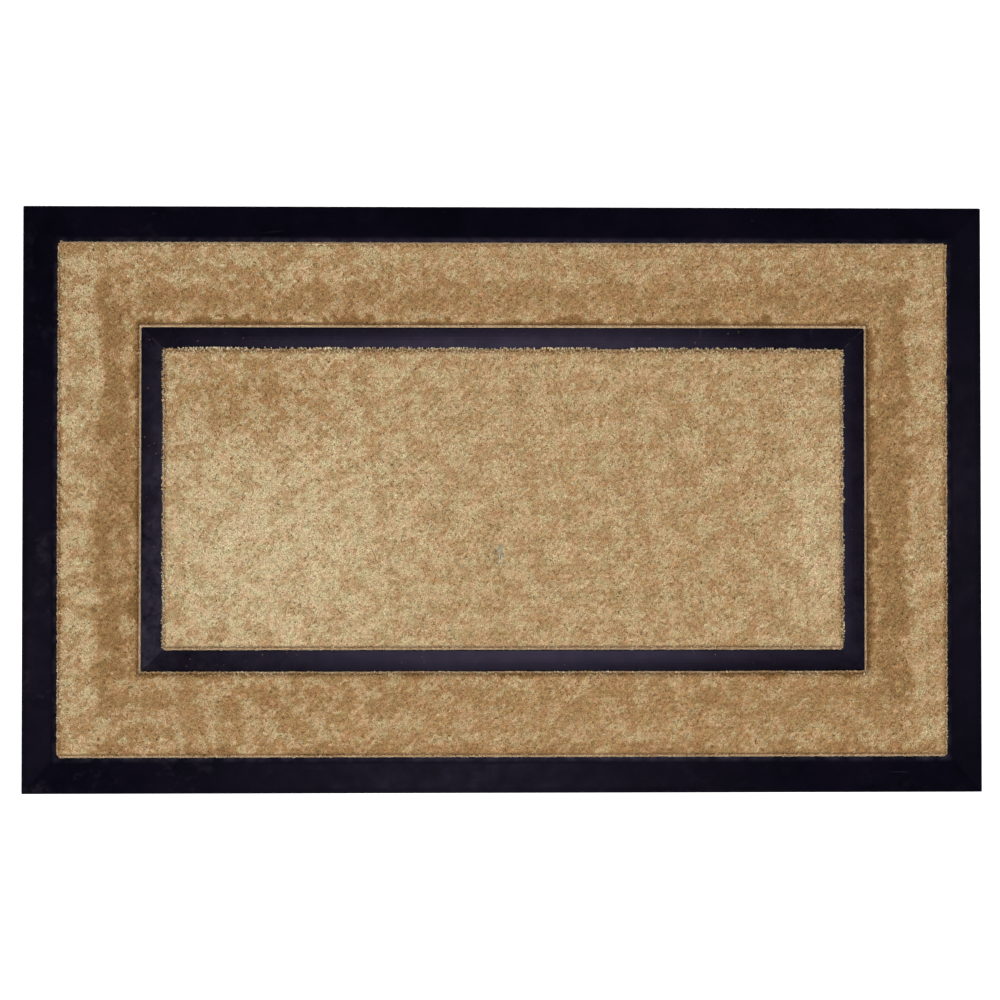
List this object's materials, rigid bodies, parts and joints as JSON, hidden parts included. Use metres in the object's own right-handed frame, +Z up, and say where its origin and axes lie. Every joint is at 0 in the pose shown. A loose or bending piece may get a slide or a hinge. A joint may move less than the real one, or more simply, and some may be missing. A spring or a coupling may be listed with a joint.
{
  "type": "door mat",
  "caption": "Rectangular door mat: coir brush panels bonded into a moulded rubber tray with a bevelled border and a raised rubber picture frame.",
  "frame": {"origin": "on the floor under the middle of the mat", "axes": "+X along the long side, +Y along the short side towards the edge that is uppermost in the picture, +Z up from the floor"},
  "size_m": [0.9144, 0.5588, 0.0159],
  "materials": {
    "moulded_rubber": "satin",
    "coir_fibre": "matte",
    "pvc_backing": "matte",
    "hot_melt_adhesive": "satin"
  },
  "bodies": {
    "root": {"rubber_tray": "moulded_rubber", "picture_frame": "moulded_rubber", "picture_frame_adhesive": "hot_melt_adhesive", "outer_panel_adhesive": "hot_melt_adhesive", "outer_panel_backing": "pvc_backing", "outer_panel_coir": "coir_fibre", "centre_panel_adhesive": "hot_melt_adhesive", "centre_panel_backing": "pvc_backing", "centre_panel_coir": "coir_fibre"}
  },
  "joints": []
}
